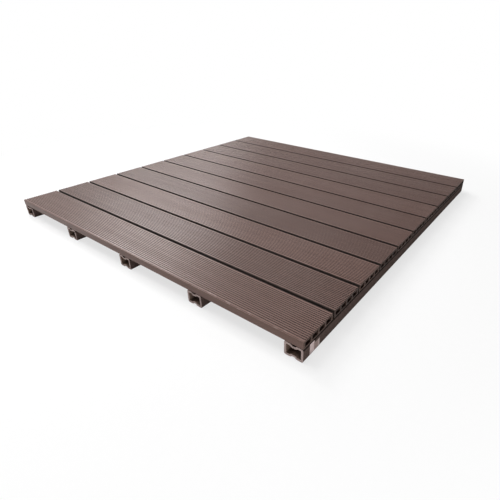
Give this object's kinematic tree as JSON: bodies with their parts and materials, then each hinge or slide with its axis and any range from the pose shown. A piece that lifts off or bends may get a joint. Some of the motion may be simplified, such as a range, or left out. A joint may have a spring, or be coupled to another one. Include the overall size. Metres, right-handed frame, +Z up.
{
  "type": "composite deck panel",
  "caption": "Square raised decking panel: grooved hollow composite boards laid with drainage gaps across hollow waisted joists and screwed up from below.",
  "frame": {"origin": "on the ground under the middle of the panel", "axes": "+Z up, +X along the boards to the right, +Y from the front board to the back board"},
  "size_m": [1.472, 1.472, 0.069],
  "materials": {
    "board_composite": "extruded wood-plastic composite, brushed matt, coffee brown",
    "joist_composite": "extruded wood-plastic composite, smooth matt, coffee brown",
    "screw_steel": "plain stainless steel"
  },
  "bodies": {
    "root": {"board_01": "board_composite", "board_02": "board_composite", "board_03": "board_composite", "board_04": "board_composite", "board_05": "board_composite", "board_06": "board_composite", "board_07": "board_composite", "board_08": "board_composite", "board_09": "board_composite", "board_10": "board_composite", "joist_1": "joist_composite", "joist_2": "joist_composite", "joist_3": "joist_composite", "joist_4": "joist_composite", "joist_5": "joist_composite", "screws_joist_1": "screw_steel", "screws_joist_2": "screw_steel", "screws_joist_3": "screw_steel", "screws_joist_4": "screw_steel", "screws_joist_5": "screw_steel"}
  },
  "joints": []
}
